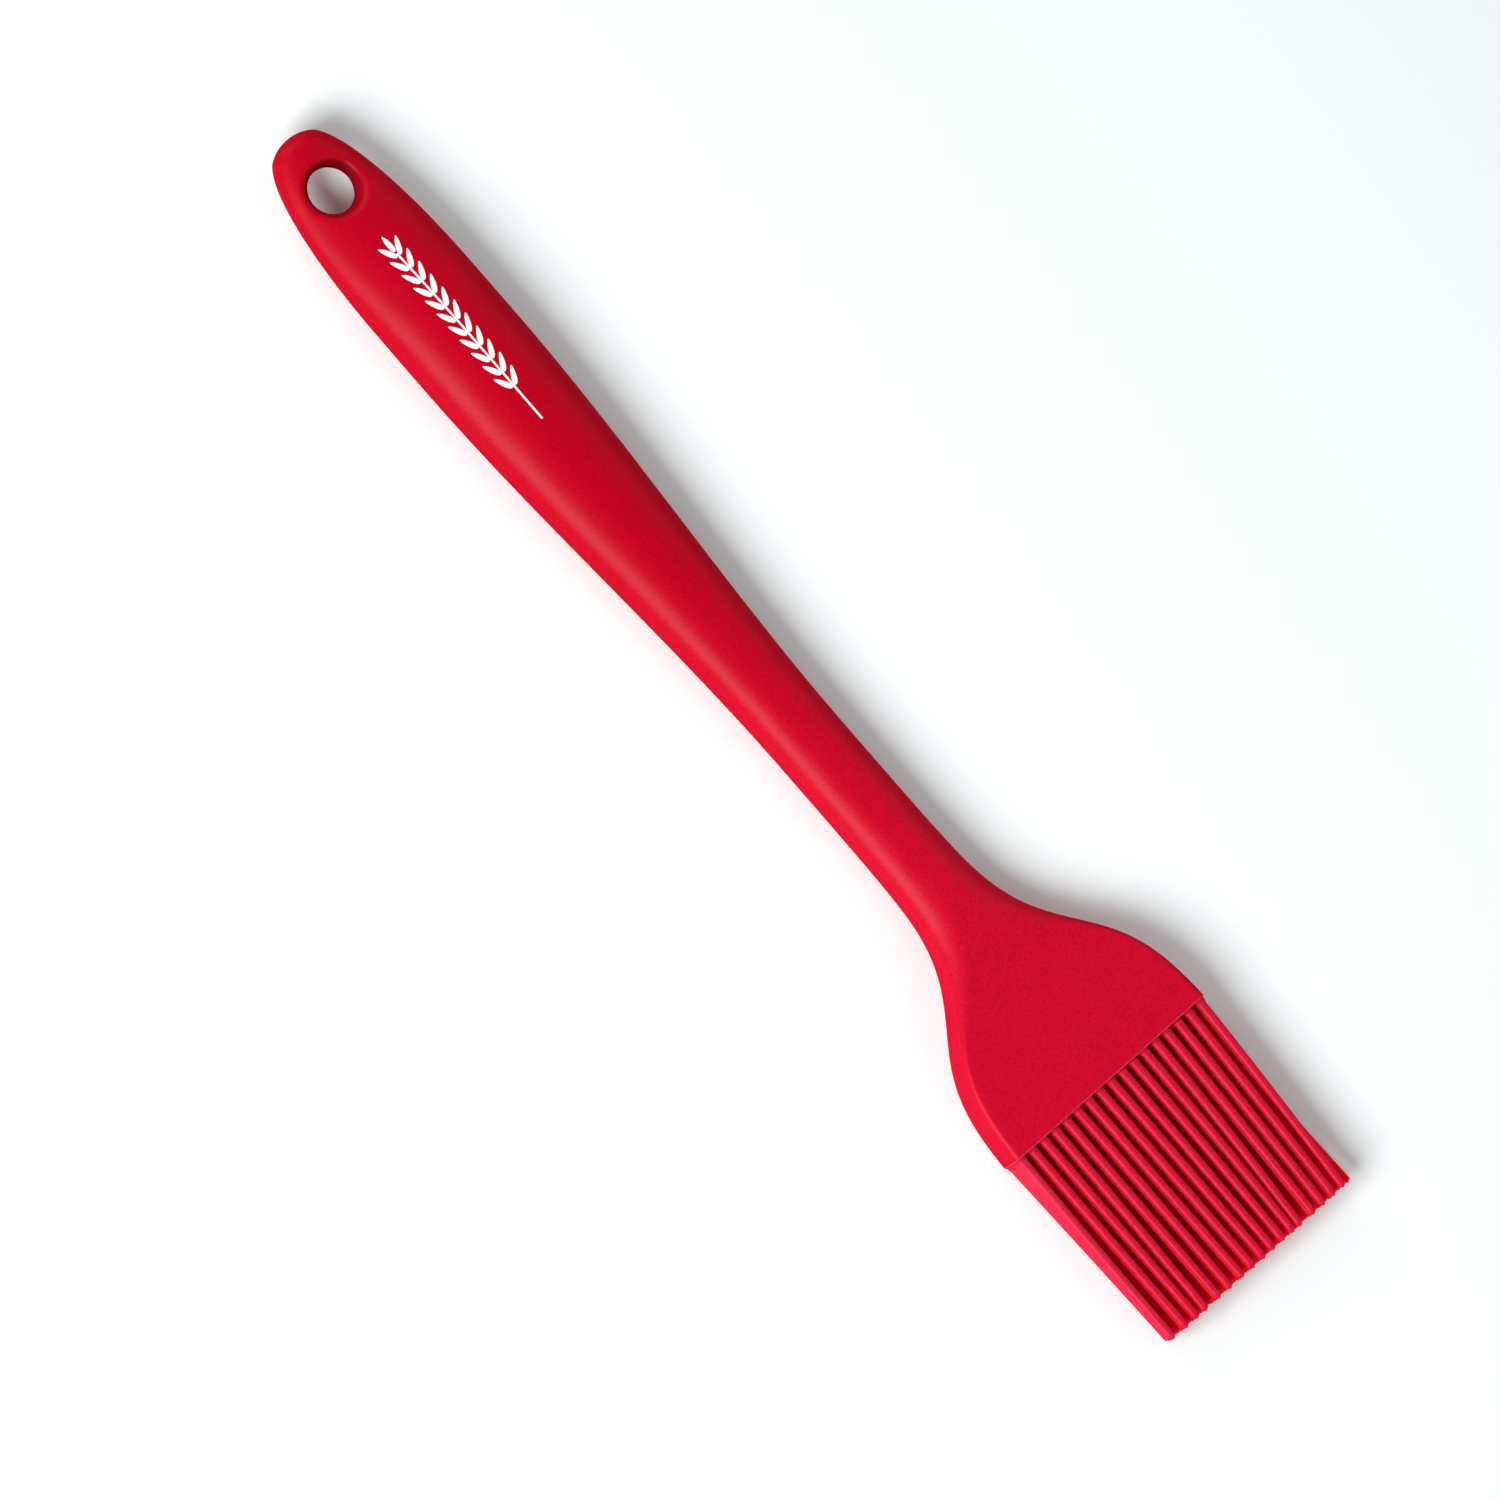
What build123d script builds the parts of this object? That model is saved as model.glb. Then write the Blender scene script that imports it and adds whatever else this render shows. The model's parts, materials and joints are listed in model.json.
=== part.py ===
from build123d import *
import os
from math import atan2, degrees, exp, sqrt

# Silicone pastry brush. Millimetres. It is modelled straight, along Y, with the hanging end at +Y, the
# bristle tips at -Y, the face up (+Z) and the middle of its thickness at Z = 0. It is then laid down on its
# back, on the handle's belly and the flat of the head. A "station" is a distance from the hanging end.

# Driving dimensions of the whole brush
overall_length = 265.0
mouth_station = 222.9
end_station = 0.25

# Half widths of the silicone body
belly_half_width = 10.9
neck_half_width = 6.9
head_half_width = 23.85
shoulder_station = 197.9
shoulder_softness = 5.9
end_arc_radius = 8.2
end_swell_length = 36.0
end_swell_power = 0.33
belly_end_station = 50.0
neck_start_station = 143.0

# Half thicknesses of the silicone body
belly_station = 47.0
belly_half_thickness = 6.5
neck_half_thickness = 5.05
mouth_half_thickness = 4.75
end_half_thickness = 3.45
end_round = 3.0
planing_allowance = 0.02

# Its cross sections go from nearly an ellipse in the handle to a rounded slab in the head
handle_corner_share = 0.9
head_corner_radius = 1.3
head_corner_start = 176.0
head_corner_end = 204.0
quarter_round = 0.5523

# Hanging hole
hole_station = 12.0
hole_radius = 4.5
hole_land_length = 1.6
hole_rim_radius = 3.5

# Stiffener core
core_thickness = 3.0
core_ring_inner_radius = 6.0
core_ring_outer_radius = 7.5
core_bar_half_width = 4.5
core_neck_half_width = 3.5
paddle_start_station = 190.0
paddle_wide_station = 207.0
paddle_end_station = 217.0
paddle_half_width = 14.0
paddle_corner_radius = 3.0
bond_hole_radius = 2.4
bond_hole_station = 211.5
bond_hole_pitch = 9.0

# Bristle block
lip_height = 0.3
lip_wall = 0.4
block_flange_depth = 2.0
block_start_station = 209.0
block_half_width = 18.5
block_half_thickness = 3.1
block_corner_radius = 1.0

# Bristles
hinge_station = 223.6
bristle_root_radius = 0.85
bristle_tip_radius = 0.70
bristle_flatness = 0.76
bristles_per_row = 17
bristle_pitch = 2.78
row_count = 5
row_pitch = 1.75

# The brush lies on the belly and on the head, so its axis is pitched by this much
taper_slope = (belly_half_thickness - mouth_half_thickness) / (mouth_station - belly_station)
rest_pitch = degrees(atan2(taper_slope, 1.0))


def along(station):
    """Y of a station."""
    return overall_length / 2 - station


def ease(start, end, value):
    """0 before start, 1 after end, and a smooth S between them."""
    share = min(max((value - start) / (end - start), 0.0), 1.0)
    return share * share * (3 - 2 * share)


def floor_half_thickness(station):
    """Half thickness at which the body's back would touch the surface that it lies on."""
    return belly_half_thickness - (station - belly_station) * taper_slope


def half_width(station):
    """Half the body's width: rounded end, belly, slim neck, and an S out to the head."""
    if station < end_swell_length:
        swell = (1 - (1 - station / end_swell_length) ** 2) ** end_swell_power * belly_half_width
        if station < end_arc_radius:
            end_arc = sqrt(end_arc_radius**2 - (end_arc_radius - station) ** 2)
            return min(end_arc, swell)
        return swell
    handle = belly_half_width
    handle -= (belly_half_width - neck_half_width) * ease(belly_end_station, neck_start_station, station)
    shoulder = 1 / (1 + exp((shoulder_station - station) / shoulder_softness))
    return handle + (head_half_width - neck_half_width) * shoulder


def half_thickness(station):
    """Half the body's thickness: thin at the hole, thickest at the belly, then down to a flat head."""
    if station < end_round:
        return end_half_thickness * sqrt(1 - (1 - station / end_round) ** 2)
    if station < belly_station:
        rise = ease(end_round, belly_station, station)
        return end_half_thickness + (belly_half_thickness - end_half_thickness) * rise
    fall = ease(belly_station, 160.0, station)
    handle = belly_half_thickness - (belly_half_thickness - neck_half_thickness) * fall
    head = floor_half_thickness(station) + planing_allowance
    return handle + (head - handle) * ease(172.0, 192.0, station)


def body_section(station):
    """Cross section of the silicone body: four flats joined by four elliptical corners."""
    width = half_width(station)
    thickness = half_thickness(station)
    squareness = ease(head_corner_start, head_corner_end, station)
    across = handle_corner_share * width * (1 - squareness) + head_corner_radius * squareness
    down = handle_corner_share * thickness * (1 - squareness) + head_corner_radius * squareness
    plane = Plane(origin=(0, along(station), 0), x_dir=(1, 0, 0), z_dir=(0, -1, 0))
    edges = []
    corners = [(1, 1), (-1, 1), (-1, -1), (1, -1)]
    for side, face in corners:
        flank = (side * width, face * (thickness - down))
        flat = (side * (width - across), face * thickness)
        flank_pull = (side * width, face * (thickness - down * (1 - quarter_round)))
        flat_pull = (side * (width - across * (1 - quarter_round)), face * thickness)
        if side == face:
            edges.append(Bezier(flank, flank_pull, flat_pull, flat))
        else:
            edges.append(Bezier(flat, flat_pull, flank_pull, flank))
    outline = []
    for index, edge in enumerate(edges):
        following = edges[(index + 1) % len(edges)]
        outline.append(edge)
        outline.append(Line(edge @ 1, following @ 0))
    return plane * make_face(Curve() + outline)


def body_solid():
    """The silicone body's outer shape, with truly flat front and back faces on the head."""
    end_stations = [end_station, 1.0, 2.2, 4.0, 7.0, 12.0, 20.0, 30.0, 40.0, 50.0]
    handle_stations = [50.0 + 15.0 * step for step in range(1, 9)]
    head_stations = [176.0 + 5.0 * step for step in range(9)] + [mouth_station]
    stations = end_stations + handle_stations + head_stations
    body = loft([body_section(station) for station in stations])
    slab_length = mouth_station - head_corner_start
    slab_height = 4.0
    slab = Box(4 * head_half_width, slab_length, slab_height, align=(Align.CENTER, Align.MAX, Align.MIN))
    face_slope = Rot(X=rest_pitch)
    start_height = floor_half_thickness(head_corner_start)
    top_slab = Pos(0, along(head_corner_start), start_height) * face_slope * slab
    return body - top_slab - mirror(top_slab, Plane.XY)


def hanging_hole():
    """Cutter for the hanging hole: a short straight wall between two rims that open in a round."""
    land = hole_land_length / 2
    top = land + hole_rim_radius
    profile = Polyline((0, 0), (hole_radius, 0), (hole_radius, land))
    profile += RadiusArc((hole_radius, land), (hole_radius + hole_rim_radius, top), hole_rim_radius)
    profile += Polyline((hole_radius + hole_rim_radius, top), (0, top), (0, 0))
    half = revolve(Plane.XZ * make_face(profile), Axis.Z)
    return Pos(0, along(hole_station), 0) * (half + mirror(half, Plane.XY))


def stiffener_core():
    """Flat nylon strip: ring round the hole, bar down the handle, paddle with bonding holes."""
    ring_centre = (0, along(hole_station))
    bar_points = [
        (core_bar_half_width, along(hole_station + core_ring_inner_radius + 1)),
        (core_bar_half_width, along(belly_end_station)),
        (core_neck_half_width, along(neck_start_station)),
        (core_neck_half_width, along(paddle_start_station)),
        (paddle_half_width, along(paddle_wide_station)),
        (paddle_half_width, along(paddle_end_station)),
    ]
    mirrored = [(-x, y) for x, y in reversed(bar_points)]
    blade = make_face(Polyline(*bar_points, *mirrored, close=True))
    paddle_corners = blade.vertices().sort_by(Axis.Y)[0:4]
    blade = fillet(paddle_corners, paddle_corner_radius)
    plan = blade + Pos(*ring_centre) * Circle(core_ring_outer_radius)
    plan -= Pos(*ring_centre) * Circle(core_ring_inner_radius)
    for place in (-1, 0, 1):
        plan -= Pos(place * bond_hole_pitch, along(bond_hole_station)) * Circle(bond_hole_radius)
    return extrude(plan, core_thickness / 2, both=True)


def slab_between(start, end, width, thickness, corner_radius):
    """Block with rounded long edges between two stations."""
    profile = RectangleRounded(2 * width, 2 * thickness, corner_radius)
    face = Plane(origin=(0, along(start), 0), x_dir=(1, 0, 0), z_dir=(0, -1, 0)) * profile
    return extrude(face, end - start)


def block_envelope(end):
    """Space that the bristle block fills in the head, with its flange carried on to a station."""
    flange_start = mouth_station - lip_height - block_flange_depth
    flange_half_width = half_width(mouth_station) - lip_wall
    flange_half_thickness = mouth_half_thickness - lip_wall
    keyed = slab_between(
        block_start_station, flange_start, block_half_width, block_half_thickness, block_corner_radius
    )
    flange = slab_between(
        flange_start, end, flange_half_width, flange_half_thickness, block_corner_radius
    )
    return keyed + flange


def bristle_block(core):
    """Silicone block that the bristles stand on, moulded round the core's paddle."""
    return block_envelope(mouth_station - lip_height) - core


def handle_overmould(core):
    """Silicone handle and head in one piece, round the core and the bristle block."""
    body = body_solid() - hanging_hole()
    return body - core - block_envelope(mouth_station)


def bristle():
    """One tapered oval bristle with round ends, pointing down -Y from its hinge line at the origin."""
    length = overall_length - hinge_station - bristle_tip_radius
    outline = RadiusArc((0, bristle_root_radius), (bristle_root_radius, 0), bristle_root_radius)
    outline += Line((bristle_root_radius, 0), (bristle_tip_radius, -length))
    outline += RadiusArc(
        (bristle_tip_radius, -length), (0, -length - bristle_tip_radius), bristle_tip_radius
    )
    outline += Line((0, -length - bristle_tip_radius), (0, bristle_root_radius))
    return scale(revolve(make_face(outline), Axis.Y), (1, 1, bristle_flatness))


def bristle_row(index):
    """Row of bristles. The rows stand one behind another, so that the ends of the pack read as walls."""
    height = (row_count - 1) / 2 * row_pitch - index * row_pitch
    one = bristle()
    first = -(bristles_per_row - 1) / 2 * bristle_pitch
    across = [first + n * bristle_pitch for n in range(bristles_per_row)]
    places = [Pos(x, along(hinge_station), height) for x in across]
    return Compound([place * one for place in places])


core = stiffener_core()
straight_nodes = {
    "handle_overmould": handle_overmould(core),
    "stiffener_core": core,
    "bristle_block": bristle_block(core),
}
for row in range(row_count):
    straight_nodes[f"bristle_row_{row + 1}"] = bristle_row(row)

# Laid down: the pitch about X brings belly and head to one level, and the shift centres the footprint
pitched = Rot(X=rest_pitch) * Compound(list(straight_nodes.values()))
box = pitched.bounding_box()
rest_place = Location((-box.center().X, -box.center().Y, -box.min.Z), (rest_pitch, 0, 0))

os.makedirs("parts", exist_ok=True)
for name, solid in straight_nodes.items():
    export_step(rest_place * solid, f"parts/{name}.step")
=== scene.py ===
import json
import math
import random

import bmesh
import bpy
from mathutils import Matrix, Vector


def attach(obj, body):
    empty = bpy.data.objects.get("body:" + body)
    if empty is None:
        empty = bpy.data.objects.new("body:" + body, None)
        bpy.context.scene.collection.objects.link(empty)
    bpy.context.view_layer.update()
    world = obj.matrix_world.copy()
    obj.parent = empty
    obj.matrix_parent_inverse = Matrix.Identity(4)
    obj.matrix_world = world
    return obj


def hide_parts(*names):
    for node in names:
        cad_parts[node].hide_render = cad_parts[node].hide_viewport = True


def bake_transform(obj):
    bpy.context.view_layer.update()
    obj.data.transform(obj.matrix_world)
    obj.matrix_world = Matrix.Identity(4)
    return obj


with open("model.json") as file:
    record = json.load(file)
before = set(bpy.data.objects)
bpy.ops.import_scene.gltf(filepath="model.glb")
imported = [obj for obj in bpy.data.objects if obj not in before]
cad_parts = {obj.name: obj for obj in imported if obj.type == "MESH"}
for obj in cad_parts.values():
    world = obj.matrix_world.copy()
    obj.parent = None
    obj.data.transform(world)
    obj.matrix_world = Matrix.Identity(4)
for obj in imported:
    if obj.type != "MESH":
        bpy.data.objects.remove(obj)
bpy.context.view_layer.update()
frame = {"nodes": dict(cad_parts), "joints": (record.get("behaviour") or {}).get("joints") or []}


# ---- How the brush lies --------------------------------------------------------------------------------
# Shapes below are worked out in millimetres on the straight brush: x across it, a station measured from the
# hanging end, z out of its face. The hinges of the bristle rows say how the real one lies on the worktop.
hinge = {joint["child"]: Vector(joint["pos_m"]) for joint in frame["joints"]}
hinge_station = 223.6
out_of_face = (hinge["row_1"] - hinge["row_5"]).normalized()
to_hanging_end = out_of_face.cross(Vector((1, 0, 0)))


def lay(x, station, z):
    """Point of the straight brush, in millimetres, put where it lies, in metres."""
    along = (hinge_station - station) * 0.001
    sideways = Vector((x * 0.001, 0, 0))
    return hinge["row_3"] + sideways + to_hanging_end * along + out_of_face * (z * 0.001)


# ---- Camera --------------------------------------------------------------------------------------------
# It looks down on the brush, leaning to the brush's left side, with the handle at the upper left.
camera_lean = math.radians(17)
turn = math.radians(48.87)
distance = 3.0
aim = Vector((-0.00935, -0.0038, 0.0058))
across_view = Vector((math.cos(camera_lean), 0, math.sin(camera_lean)))
towards_camera = Vector((-math.sin(camera_lean), 0, math.cos(camera_lean)))
picture_right = across_view * math.sin(turn) - Vector((0, 1, 0)) * math.cos(turn)
picture_up = towards_camera.cross(picture_right)
camera_data = bpy.data.cameras.new("camera")
camera_data.sensor_width = 36
camera_data.lens = 403.5
camera = bpy.data.objects.new("camera", camera_data)
pose = Matrix((picture_right, picture_up, towards_camera)).transposed().to_4x4()
camera.matrix_world = Matrix.Translation(aim + towards_camera * distance) @ pose
bpy.context.scene.collection.objects.link(camera)
bpy.context.scene.camera = camera


# ---- Stiffener core ------------------------------------------------------------------------------------
# A flat strip of natural glass-filled nylon, moulded first and then buried in the silicone. It has a ring
# round the hanging hole and a paddle in the head. The CAD solid is its true shape and only gets a finish.
class Tone:
    """A number that varies over a surface, so that sums on it read as sums."""

    def __init__(self, paint, socket):
        self.paint = paint
        self.socket = socket

    def sum(self, operation, first, second):
        return self.paint.node("ShaderNodeMath", {"operation": operation}, [first, second])

    def __add__(self, other):
        return self.sum("ADD", self, other)

    def __radd__(self, other):
        return self.sum("ADD", other, self)

    def __sub__(self, other):
        return self.sum("SUBTRACT", self, other)

    def __rsub__(self, other):
        return self.sum("SUBTRACT", other, self)

    def __mul__(self, other):
        return self.sum("MULTIPLY", self, other)

    def __rmul__(self, other):
        return self.sum("MULTIPLY", other, self)


class Paint:
    """One finish: its material, and the nodes that make it."""

    def __init__(self, name):
        self.material = bpy.data.materials.new(name)
        self.material.use_nodes = True
        self.nodes = self.material.node_tree.nodes
        self.links = self.material.node_tree.links
        self.shader = self.nodes["Principled BSDF"]

    def node(self, kind, settings, inputs, output=0):
        """Adds a node: settings first, then a value or a link for each named or numbered input."""
        made = self.nodes.new(kind)
        for key, value in settings.items():
            setattr(made, key, value)
        named = inputs.items() if isinstance(inputs, dict) else enumerate(inputs)
        for key, value in named:
            self.feed(made.inputs[key], value)
        return Tone(self, made.outputs[output])

    def feed(self, socket, value):
        if isinstance(value, Tone):
            self.links.new(value.socket, socket)
        else:
            socket.default_value = value

    def place(self):
        """Where a point is on the piece, in metres."""
        return self.node("ShaderNodeTexCoord", {}, {}, "Object")

    def noise(self, size, detail=2.0, roughness=0.5):
        """Soft blotches about this many metres across, from 0 to 1."""
        settings = {"noise_dimensions": "3D"}
        inputs = {"Vector": self.place(), "Scale": 1 / size, "Detail": detail, "Roughness": roughness}
        return self.node("ShaderNodeTexNoise", settings, inputs, "Fac")

    def band(self, tone, low, high):
        """0 where the tone is under low, 1 where it is over high."""
        settings = {"interpolation_type": "SMOOTHSTEP"}
        inputs = {"Value": tone, "From Min": low, "From Max": high}
        return self.node("ShaderNodeMapRange", settings, inputs, "Result")

    def mix(self, share, first, second):
        """A colour between two others."""
        made = self.nodes.new("ShaderNodeMix")
        made.data_type = "RGBA"
        for key, value in ((0, share), (6, first), (7, second)):
            self.feed(made.inputs[key], value)
        return Tone(self, made.outputs[2])

    def relief(self, height, depth):
        """Fine relief in the surface, this many metres deep."""
        inputs = {"Height": height, "Distance": depth, "Strength": 1.0}
        self.feed(self.shader.inputs["Normal"], self.node("ShaderNodeBump", {}, inputs, "Normal"))

    def gloss(self, share, roughness):
        """A faint even gloss over the shader, for a matt skin that doesn't brighten at its edges."""
        sheen = self.nodes.new("ShaderNodeBsdfAnisotropic")
        self.feed(sheen.inputs["Roughness"], roughness)
        blend = self.nodes.new("ShaderNodeMixShader")
        blend.inputs["Fac"].default_value = share
        self.links.new(self.shader.outputs["BSDF"], blend.inputs[1])
        self.links.new(sheen.outputs["BSDF"], blend.inputs[2])
        self.links.new(blend.outputs["Shader"], self.nodes["Material Output"].inputs["Surface"])

    def set(self, **values):
        for key, value in values.items():
            self.feed(self.shader.inputs[key.replace("_", " ")], value)

    def finish(self, piece, smooth=True):
        piece.data.materials.clear()
        piece.data.materials.append(self.material)
        if smooth:
            piece.data.polygons.foreach_set("use_smooth", [True] * len(piece.data.polygons))


nylon = Paint("natural_nylon")
nylon_flow = nylon.noise(0.004, 3)
nylon.set(
    Base_Color=nylon.mix(nylon_flow, (0.62, 0.58, 0.49, 1), (0.78, 0.75, 0.67, 1)),
    Roughness=0.38 + 0.12 * nylon_flow,
)
nylon.relief(nylon.noise(0.0003), 0.00001)
nylon.finish(frame["nodes"]["stiffener_core"], smooth=False)


# ---- Bristle block -------------------------------------------------------------------------------------
# The silicone block that the bristles grow from, set in the head's mouth just under the lip. Only its end
# shows, between the bristles, so the CAD solid stays and takes the same matt red silicone as the rest.
def red_silicone(name, colour, bloom, shine, depth, glow):
    """Matt moulded silicone: a blasted mould's fine grain, faint mottling and a little dusty bloom."""
    paint = Paint(name)
    red, green, blue = colour
    full = (red, green, blue, 1)
    deep = (red * 0.80, green * 0.6, blue * 0.74, 1)
    dusty = (red * 1.03, green + 0.010, blue + 0.014, 1)
    mottling = paint.band(paint.noise(0.0035, 3), 0.3, 0.7)
    specks = paint.band(paint.noise(0.0005, 3, 0.7), 0.5, 0.68)
    grain = paint.noise(0.00042, 2, 0.6)
    flecks = paint.band(paint.noise(0.00055, 2, 0.6), 0.34, 0.62)
    skin = paint.mix(0.25 + 0.15 * mottling + 0.6 * flecks, deep, full)
    paint.set(
        Base_Color=paint.mix(specks * bloom, skin, dusty),
        Roughness=0.6 + 0.1 * grain,
        Specular_IOR_Level=0.0,
        Subsurface_Weight=glow,
        Subsurface_Radius=(1.0, 0.1, 0.08),
        Subsurface_Scale=depth,
    )
    paint.relief(grain + 0.5 * specks, 0.000024)
    paint.gloss(shine, 0.36 + 0.06 * grain)
    return paint


block_finish = red_silicone("block_silicone", (0.50, 0.0015, 0.010), 0.1, 0.005, 0.0015, 0.2)
block_finish.finish(frame["nodes"]["bristle_block"], smooth=False)


# ---- Handle and head -----------------------------------------------------------------------------------
# One silicone moulding round the core: a rounded handle that is widest a fifth of the way down, a slim
# neck, and a flat fan-shaped head with crisp edges. Both rims of the hanging hole open in a soft round.
mouth_station = 222.9
belly_station = 47.0
belly_half_thickness = 6.5
neck_half_thickness = 5.05
mouth_half_thickness = 4.75
end_half_thickness = 3.45
taper = (belly_half_thickness - mouth_half_thickness) / (mouth_station - belly_station)
edge_round = 1.3
soft_corner_share = 0.91


def ease(start, end, value):
    """0 before start, 1 after end, and a smooth S between them."""
    share = min(max((value - start) / (end - start), 0.0), 1.0)
    return share * share * (3 - 2 * share)


def half_width(station):
    """Half the silicone's width: round end, belly, slim neck, and an S out to the head."""
    belly, neck, head = 10.9, 6.9, 23.85
    end_radius, swell_length, swell_power = 8.2, 36.0, 0.33
    shoulder_station, shoulder_softness = 197.9, 5.9
    if station < swell_length:
        swell = belly * (1 - (1 - station / swell_length) ** 2) ** swell_power
        if station < end_radius:
            return min(swell, math.sqrt(end_radius**2 - (end_radius - station) ** 2))
        return swell
    shoulder = 1 / (1 + math.exp((shoulder_station - station) / shoulder_softness))
    return belly - (belly - neck) * ease(50, 143, station) + (head - neck) * shoulder


def half_thickness(station):
    """Half its thickness: thin at the hole, thickest at the belly, then down to the flat head."""
    end_round = 3
    if station < end_round:
        return end_half_thickness * math.sqrt(1 - (1 - station / end_round) ** 2)
    if station < belly_station:
        rise = ease(end_round, belly_station, station)
        return end_half_thickness + (belly_half_thickness - end_half_thickness) * rise
    handle = belly_half_thickness
    handle -= (belly_half_thickness - neck_half_thickness) * ease(belly_station, 160, station)
    head = belly_half_thickness - (station - belly_station) * taper
    return handle + (head - handle) * ease(172, 192, station)


def squareness(station):
    """0 where the section is a soft oval, 1 where it is a slab with rounded edges."""
    return ease(176, 204, station)


def rounding(station, half):
    """How far a section's corner reaches in from its side."""
    square = squareness(station)
    return soft_corner_share * half * (1 - square) + edge_round * square


def surface(x, station, inset=0.0):
    """Height of the silicone's face over the middle of the brush."""
    width = half_width(station) - inset
    thickness = half_thickness(station) - inset
    reach = max(rounding(station, width + inset) - inset, 0.1)
    drop = max(rounding(station, thickness + inset) - inset, 0.1)
    past = min(max((abs(x) - (width - reach)) / reach, 0.0), 1.0)
    return thickness - drop + drop * math.sqrt(1 - past * past)


steps_out = 22
flank_steps = 2


def ring(station, inset=0.0):
    """One loop of points round the silicone: over the face, down a flank, under the back and up again."""
    width = max(half_width(station) - inset, 0.0)
    reach = max(rounding(station, width + inset) - inset, 0.0)
    flat_steps = 0.08 + 0.5 * squareness(station)
    face = []
    for step in range(-steps_out, steps_out + 1):
        share = abs(step) / steps_out
        if share < flat_steps:
            x = (width - reach) * share / flat_steps
        else:
            x = width - reach + reach * math.sin((share - flat_steps) / (1 - flat_steps) * math.pi / 2)
        x = math.copysign(x, step)
        face.append((x, station, surface(x, station, inset) if width else 0.0))
    flank = face[-1][2]
    right = [(width, station, flank * (1 - 2 * n / flank_steps)) for n in range(1, flank_steps)]
    left = [(-x, y, -z) for x, y, z in right]
    back = [(x, y, -z) for x, y, z in reversed(face)]
    return face + right + back + left


def make_piece(name, points, faces):
    """A mesh piece from points on the straight brush, laid down with it."""
    mesh = bpy.data.meshes.new(name)
    mesh.from_pydata([lay(*point) for point in points], [], faces)
    mesh.validate()
    piece = bpy.data.objects.new(name, mesh)
    bpy.context.scene.collection.objects.link(piece)
    shape = bmesh.new()
    shape.from_mesh(mesh)
    bmesh.ops.remove_doubles(shape, verts=shape.verts, dist=1e-7)
    bmesh.ops.recalc_face_normals(shape, faces=shape.faces)
    shape.to_mesh(mesh)
    shape.free()
    return piece


hole_station = 12.0
hole_radius = 4.5
hole_half_land = 0.8
hole_rim = 2.2
hole_first, hole_last = 4.25, 20.0
hole_steps_out = 14
hole_rings = 14

stations = [3.5 * (n / 12) ** 2 for n in range(1, 13)]
stations += [3.5 + 0.75 * n for n in range(1, 35)]
stations += [29 + 2 * n for n in range(1, 73)]
stations += [173 + 1 * n for n in range(1, 50)]
lip = [(222.4, 0.0), (222.62, 0.0), (222.78, 0.05), (222.87, 0.13), (222.9, 0.24)]
lip += [(222.9, 0.4), (222.3, 0.4)]
loops = [ring(station) for station in stations] + [ring(station, inset) for station, inset in lip]
loop_size = len(loops[0])
body_points = [(0, 0, 0)] + [point for loop in loops for point in loop]
body_faces = []
face_middle = steps_out
back_middle = 2 * steps_out + 1 + flank_steps - 1 + steps_out


def near_hole(index, place):
    """True for a face of the grid that the hole's rings take the place of."""
    if not hole_first <= stations[min(index, len(stations) - 1)] < hole_last:
        return False
    return any(
        middle - hole_steps_out <= place < middle + hole_steps_out for middle in (face_middle, back_middle)
    )


for place in range(loop_size):
    body_faces.append((0, 1 + place, 1 + (place + 1) % loop_size))
for index in range(len(loops) - 1):
    for place in range(loop_size):
        if index < len(stations) and near_hole(index, place):
            continue
        here = 1 + index * loop_size
        there = here + loop_size
        after = (place + 1) % loop_size
        body_faces.append((here + place, here + after, there + after, there + place))
last = 1 + (len(loops) - 1) * loop_size
body_faces.append(tuple(last + place for place in range(loop_size)))

rows = [n for n, station in enumerate(stations) if hole_first <= station < hole_last]
top_row, bottom_row = rows[0], rows[-1] + 1
border = [(top_row, face_middle + step) for step in range(-hole_steps_out, hole_steps_out)]
border += [(row, face_middle + hole_steps_out) for row in range(top_row, bottom_row)]
border += [(bottom_row, face_middle + step) for step in range(hole_steps_out, -hole_steps_out, -1)]
border += [(row, face_middle - hole_steps_out) for row in range(bottom_row, top_row, -1)]
rim_loops = []
for n in range(hole_rings + 1):
    share = (n / hole_rings) ** 1.25
    loop = []
    for row, place in border:
        x, station, z = loops[row][place]
        angle = math.atan2(station - hole_station, x)
        reach = math.hypot(x, station - hole_station)
        radius = hole_radius + (reach - hole_radius) * share
        new_x = radius * math.cos(angle)
        new_station = hole_station + radius * math.sin(angle)
        height = surface(new_x, new_station)
        out = min((radius - hole_radius) / hole_rim, 1.0)
        height = hole_half_land + (height - hole_half_land) * math.sqrt(1 - (1 - out) ** 2)
        loop.append((new_x, new_station, z if n == hole_rings else height))
    rim_loops.append(loop)
hole_wall = [[(x, y, -z) for x, y, z in loop] for loop in reversed(rim_loops)] + rim_loops
count = len(border)
for number, loop in enumerate(hole_wall):
    start = len(body_points)
    body_points += loop
    if number:
        for place in range(count):
            after = (place + 1) % count
            body_faces.append((start - count + place, start - count + after, start + after, start + place))

handle = make_piece("handle_and_head", body_points, body_faces)
handle_finish = red_silicone("handle_silicone", (0.575, 0.0028, 0.0228), 0.35, 0.008, 0.0012, 0.12)
# Painted shade: the colour is darkened up the handle towards the hanging end, standing in for light falling
# off.
up_the_handle = handle_finish.node("ShaderNodeSeparateXYZ", {}, [handle_finish.place()], "Y")
falloff_start, falloff_end = -0.075, 0.055
painted_falloff = handle_finish.band(up_the_handle, falloff_start, falloff_end)
near_head = Tone(handle_finish, handle_finish.shader.inputs["Base Color"].links[0].from_socket)
shaded_up_handle = handle_finish.node(
    "ShaderNodeMix", {"data_type": "RGBA", "blend_type": "MULTIPLY"}, {0: painted_falloff, 6: near_head}, 2
)
shaded_up_handle.socket.node.inputs[7].default_value = (0.86, 0.15, 0.55, 1)
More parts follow.
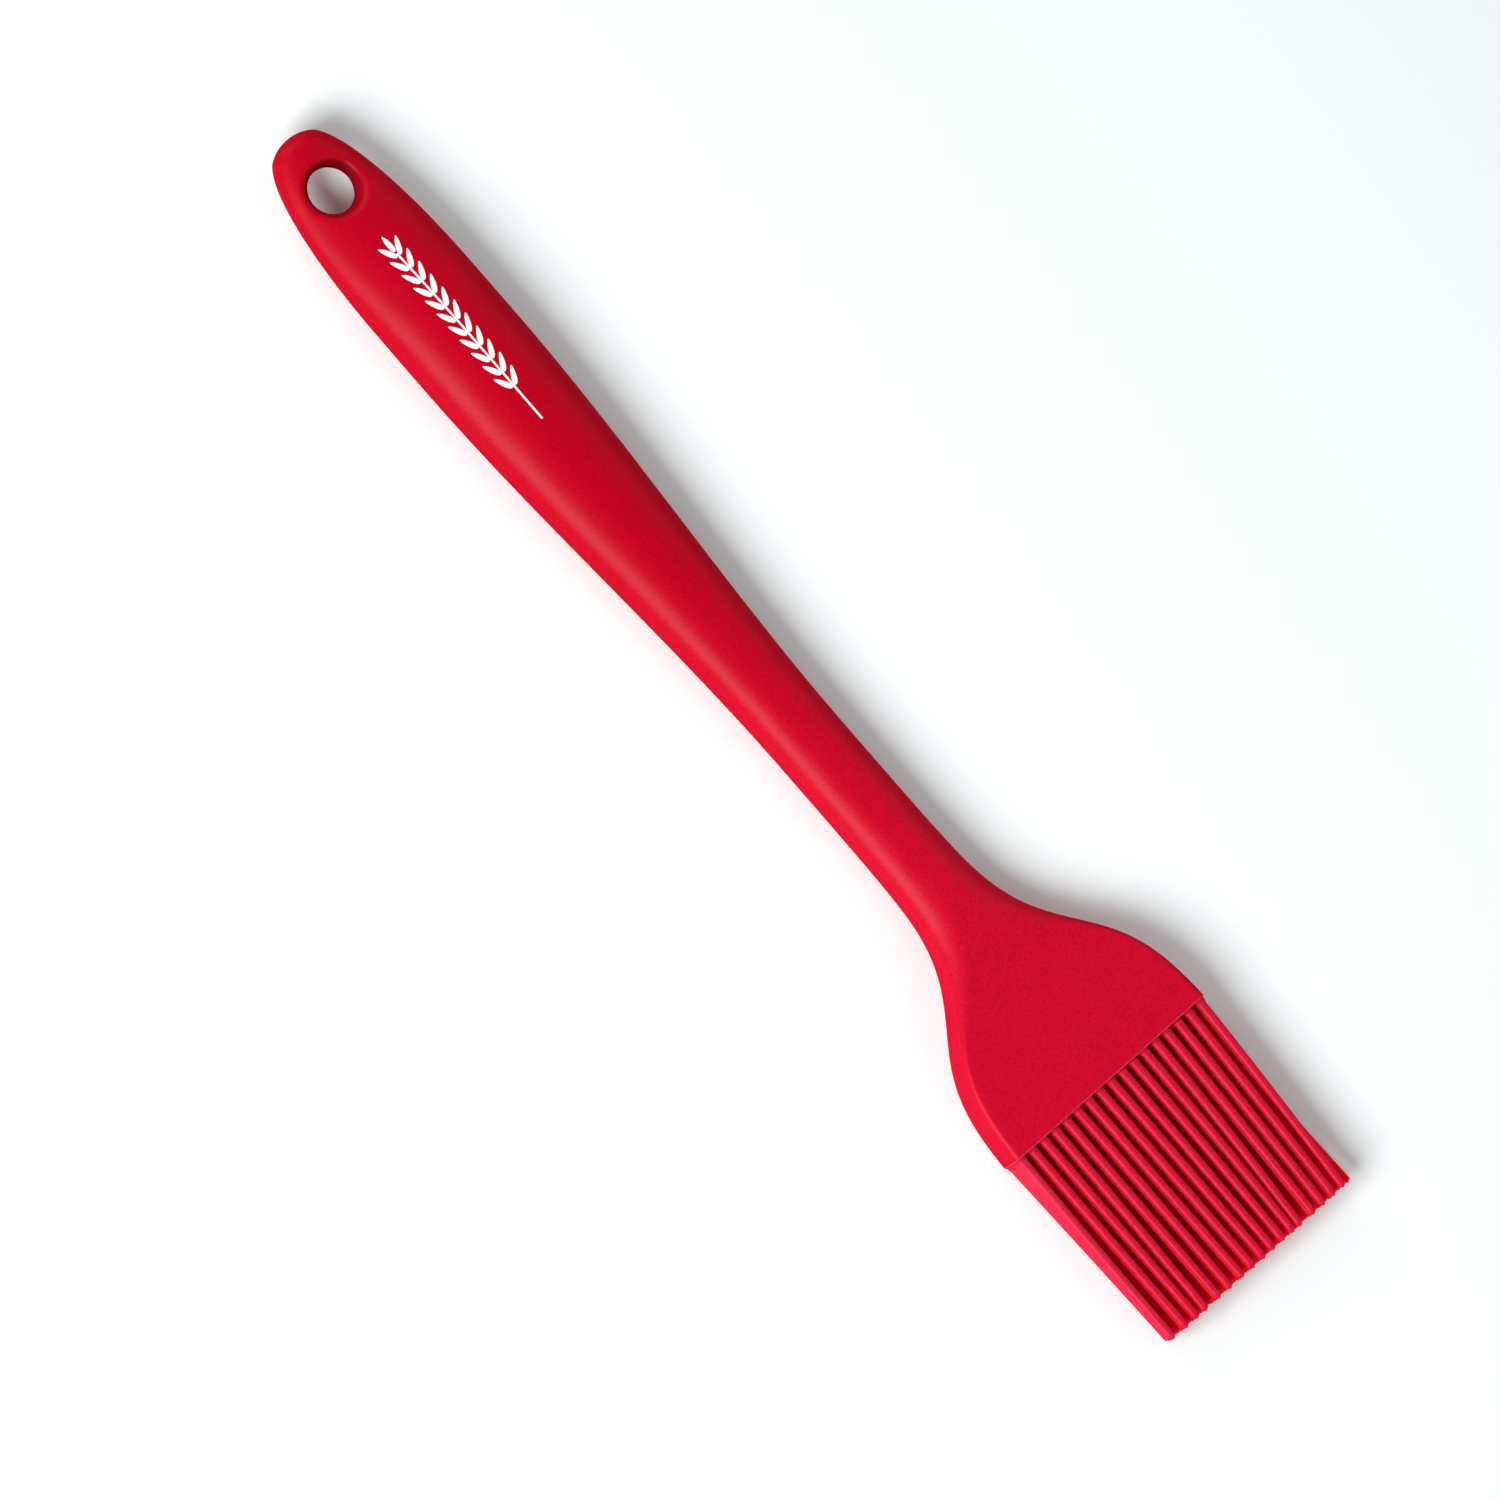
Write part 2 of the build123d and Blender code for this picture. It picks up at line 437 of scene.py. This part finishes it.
# Painted shade: the hole's wall and rim are darkened to a near-black red, most on the hanging-end side.
hole_out = handle_finish.node("ShaderNodeVectorMath", {"operation": "SUBTRACT"}, [handle_finish.place()])
hole_out.socket.node.inputs[1].default_value = lay(0, hole_station, 0)
reach = handle_finish.node("ShaderNodeVectorMath", {"operation": "LENGTH"}, [hole_out], "Value")
shade_reach = 0.008
towards_end = handle_finish.node("ShaderNodeSeparateXYZ", {}, [hole_out], "Y") * (1 / shade_reach)
near_the_wall = 1 - handle_finish.band(reach, 0.0047, 0.0073)
hole_shade = near_the_wall * handle_finish.band(towards_end, -1.6, 0.9)
shade_colour = (0.08, 0.0002, 0.0010, 1)
handle_finish.set(Base_Color=handle_finish.mix(hole_shade, shaded_up_handle, shade_colour))
handle_finish.finish(handle)
# Painted highlight: a thin pale line is painted round the mouth's edge, where its rounding would catch
# light.
highlight_station = 222.62
lip_highlight_finish = red_silicone("lip_highlight_silicone", (0.68, 0.026, 0.060), 0.6, 0.016, 0.0006, 0.2)
handle.data.materials.append(lip_highlight_finish.material)
lip_point = lay(0, highlight_station, 0)
for face in handle.data.polygons:
    past_highlight = (face.center - lip_point).dot(to_hanging_end) < 0
    if past_highlight and abs(face.normal.dot(to_hanging_end)) < 0.98:
        face.material_index = 1
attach(handle, "body")
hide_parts("handle_overmould")


# ---- Bristles ------------------------------------------------------------------------------------------
# Tapered silicone bristles with blunt tips, in five rows one behind another. They are moulded with the
# block, with a small fillet at each root, and no two lie quite straight.
rng = random.Random(7)
bristle_sides = 18
bristle_rings = 34
root_radius = 0.86
tip_radius = 0.74
root_station = 222.55
tip_station = 265.2
bristle_pitch = 2.78
row_pitch = 1.75
tip_length = 0.30
fillet_reach = 1.3
fillet_size = 0.26
squareness_power = 0.86
tip_power, tip_bluntness = 2.6, 0.34
bend_power = 1.2
ring_crowding = 1.25
bristles_per_row = 17
row_total = 5
flatness = 0.82


def bristle(x, z, drift_x, drift_z, sway, length_change):
    """Points and faces of one bristle from the block to its tip."""
    length = tip_station - root_station + length_change
    points = []
    for n in range(bristle_rings + 1):
        share = n / bristle_rings
        depth = length * (1 - (1 - share) ** ring_crowding) if n < bristle_rings else length
        left = length - depth
        radius = root_radius + (tip_radius - root_radius) * depth / length
        radius += fillet_size * max(1 - depth / fillet_reach, 0.0) ** 2
        if left < tip_length:
            radius *= max(1 - (1 - left / tip_length) ** tip_power, 0.0) ** tip_bluntness
        bend = (depth / length) ** bend_power
        wave = math.sin(math.pi * depth / length)
        centre_x = x + drift_x * bend + sway * wave
        centre_z = z + drift_z * bend
        for side in range(bristle_sides):
            angle = 2 * math.pi * side / bristle_sides
            out_x = math.copysign(abs(math.cos(angle)) ** squareness_power, math.cos(angle)) * radius
            out_z = math.copysign(abs(math.sin(angle)) ** squareness_power, math.sin(angle)) * radius
            out_z *= flatness
            points.append((centre_x + out_x, root_station + depth, centre_z + out_z))
    faces = []
    for n in range(bristle_rings):
        for side in range(bristle_sides):
            after = (side + 1) % bristle_sides
            here = n * bristle_sides
            there = here + bristle_sides
            faces.append((here + side, here + after, there + after, there + side))
    faces.append(tuple(range(bristle_sides)))
    return points, faces


def lean(n, x):
    """How far a whole column of bristles leans sideways by its tips: the right half leans in."""
    stray = {0: -0.4, 3: -0.6, 12: -0.55}
    inward = 2.1 * ease(-4, 22, x)
    return stray.get(n, 0.0) - inward + rng.gauss(0, 0.1)


def splay(row, n):
    """How far a bristle strays from the front one of its column, at its tip and at its middle."""
    if n == 0:
        depth_share = row / (row_total - 1)
        return 1.4 * depth_share, 0.25 * depth_share
    if n == bristles_per_row - 1 and row == 1:
        return 1.7, -0.6
    return rng.gauss(0, 0.05), rng.gauss(0, 0.03)


def bristle_silicone(name, colour, wall_painted_tone):
    """The matt red of the bristles, with a duller red on the pack's left wall as painted grazing sheen."""
    paint = red_silicone(name, colour, 0.35, 0.012, 0.0022, 0.45)
    inside = Tone(paint, paint.shader.inputs["Base Color"].links[0].from_socket)
    from_left = paint.node("ShaderNodeSeparateXYZ", {}, [paint.place()], "X")
    # Painted sheen: the left wall of the pack takes a duller red than the rest.
    wall = 1 - paint.band(from_left, -0.0216, -0.0209)
    paint.set(Base_Color=paint.mix(wall, inside, wall_painted_tone))
    return paint


front_finish = bristle_silicone("bristle_silicone", (0.61, 0.0062, 0.038), (0.56, 0.013, 0.049, 1))
# Painted light: the rows inside the pack get a brighter, richer red, for light bounced between the bristles.
bounce_lit_finish = bristle_silicone("bounce_lit_bristle_silicone", (0.90, 0.0015, 0.014), (0.56, 0.013, 0.049, 1))
columns = [(n - (bristles_per_row - 1) / 2) * bristle_pitch for n in range(bristles_per_row)]
leans = [lean(n, x) for n, x in enumerate(columns)]
bows = [rng.gauss(0, 0.08) for x in columns]
for row in range(row_total):
    z = (row_total - 1) / 2 * row_pitch - row * row_pitch
    points, faces = [], []
    for n, x in enumerate(columns):
        tip_splay, middle_splay = splay(row, n)
        drift_z = rng.uniform(-0.05, 0.05)
        length_change = rng.uniform(-0.05, 0.05)
        more_points, more_faces = bristle(
            x, z, leans[n] + tip_splay, drift_z, bows[n] + middle_splay, length_change
        )
        faces += [tuple(corner + len(points) for corner in face) for face in more_faces]
        points += more_points
    body_name = f"row_{row + 1}"
    bristles = make_piece(f"bristles_{row + 1}", points, faces)
    (bounce_lit_finish if 0 < row < row_total - 1 else front_finish).finish(bristles)
    root = lay(0, root_station + 0.6, z)
    far = lay(0, root_station + 34, z)
    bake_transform(bristles)
    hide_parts(f"bristle_row_{row + 1}")


# ---- Printed ear of wheat ------------------------------------------------------------------------------
# White silicone ink, pad-printed on the face of the handle: a plain ear of wheat on its stalk.
def ink(points):
    """A convex patch of ink over the handle's face: its outline's points, lifted just over the silicone."""
    lifted = []
    for x, station in points:
        lifted.append((x, station, surface(x, station) + 0.03))
    return lifted


def grain_outline(x, station, angle, length, width):
    """A pointed oval, from its foot near the stalk."""
    outline = []
    corners = 16
    for n in range(corners):
        turn_round = 2 * math.pi * n / corners
        along = length / 2 * (1 - math.cos(turn_round))
        across = width / 2 * math.sin(turn_round) * (0.75 + 0.25 * math.cos(turn_round))
        outline.append(
            (
                x + across * math.cos(angle) + along * math.sin(angle),
                station + across * math.sin(angle) - along * math.cos(angle),
            )
        )
    return outline


print_points, print_faces = [], []


def add_ink(outline):
    start = len(print_points)
    print_points.extend(ink(outline))
    print_faces.append(tuple(range(start, start + len(outline))))


ear_top = 24.5
grain_pitch = 3.1
grain_length, grain_width = 3.7, 1.35
grain_turn = math.radians(28)
pairs = 11
for n in range(pairs):
    foot = ear_top + 4.4 + n * grain_pitch
    for side in (-1, 1):
        add_ink(grain_outline(side * 0.38, foot, side * grain_turn, grain_length, grain_width))
add_ink(grain_outline(0, ear_top + 3.4, 0, grain_length - 0.1, grain_width - 0.05))
stalk_start, stalk_end = ear_top + 3.8, 67.5
stalk_half_width = 0.2
stalk_slices = 60
slice_length = (stalk_end - stalk_start) / stalk_slices
for n in range(stalk_slices):
    first = stalk_start + n * slice_length
    ends = ((-1, first), (1, first), (1, first + slice_length), (-1, first + slice_length))
    add_ink([(side * stalk_half_width, station) for side, station in ends])
wheat = make_piece("wheat_print", print_points, print_faces)
ink_finish = Paint("white_ink")
ink_wear = ink_finish.noise(0.0007, 3)
ink_finish.set(
    Base_Color=ink_finish.mix(ink_wear, (0.86, 0.84, 0.85, 1), (0.95, 0.94, 0.95, 1)),
    Roughness=0.45 + 0.15 * ink_wear,
)
ink_finish.relief(ink_wear, 0.00002)
ink_finish.finish(wheat)
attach(wheat, "body")


# ---- Worktop and light ---------------------------------------------------------------------------------
# A plain white surface, a soft key light from the brush's left, and wide fills all round.
floor_mesh = bpy.data.meshes.new("worktop")
half_floor = 3.0
floor_corners = [(-1, -1), (1, -1), (1, 1), (-1, 1)]
floor_mesh.from_pydata([(x * half_floor, y * half_floor, 0) for x, y in floor_corners], [], [(0, 1, 2, 3)])
floor = bpy.data.objects.new("worktop", floor_mesh)
bpy.context.scene.collection.objects.link(floor)
floor.location.z = -0.00002
worktop = Paint("worktop_white")
worktop.set(Base_Color=(0.892, 0.953, 0.954, 1), Roughness=0.8, Specular_IOR_Level=0.1)
worktop.finish(floor, smooth=False)


def softbox(name, bearing, elevation, reach, size, power):
    """A square light aimed at the brush. Bearing 0 is the brush's right side, 90 its hanging end."""
    data = bpy.data.lights.new(name, "AREA")
    data.shape = "SQUARE"
    data.size = size
    data.energy = power
    lamp = bpy.data.objects.new(name, data)
    bearing, elevation = math.radians(bearing), math.radians(elevation)
    flat = math.cos(elevation)
    direction = Vector((math.cos(bearing) * flat, math.sin(bearing) * flat, math.sin(elevation)))
    lamp.location = direction * reach
    lamp.rotation_euler = direction.to_track_quat("Z", "Y").to_euler()
    bpy.context.scene.collection.objects.link(lamp)


softbox("key", 180, 41, 1.2, 0.62, 16.4)
softbox("fill_right", 0, 35, 1.6, 1.0, 1.6)
softbox("fill_tips", 270, 28, 1.6, 1.0, 3.4)
softbox("fill_end", 90, 28, 1.6, 1.0, 7)

# The room is brightest at the height of its windows and dim overhead, so flat faces take no sheen.
world = bpy.data.worlds.new("studio")
world.use_nodes = True
sky = world.node_tree.nodes
sky_height = sky.new("ShaderNodeSeparateXYZ")
sky_place = sky.new("ShaderNodeTexCoord")
sky_level = sky.new("ShaderNodeFloatCurve")
level = sky_level.mapping.curves[0]
level.points[0].location = (0.0, 0.10)
level.points[1].location = (1.0, 0.06)
for height, strength in ((0.2, 0.25), (0.4, 0.50), (0.62, 0.46), (0.82, 0.12)):
    level.points.new(height, strength)
sky_level.mapping.update()
world.node_tree.links.new(sky_place.outputs["Generated"], sky_height.inputs["Vector"])
world.node_tree.links.new(sky_height.outputs["Z"], sky_level.inputs["Value"])
world.node_tree.links.new(sky_level.outputs["Value"], sky["Background"].inputs["Strength"])
sky["Background"].inputs["Color"].default_value = (1, 1, 1, 1)
bpy.context.scene.world = world
bpy.context.scene.view_settings.view_transform = "Standard"
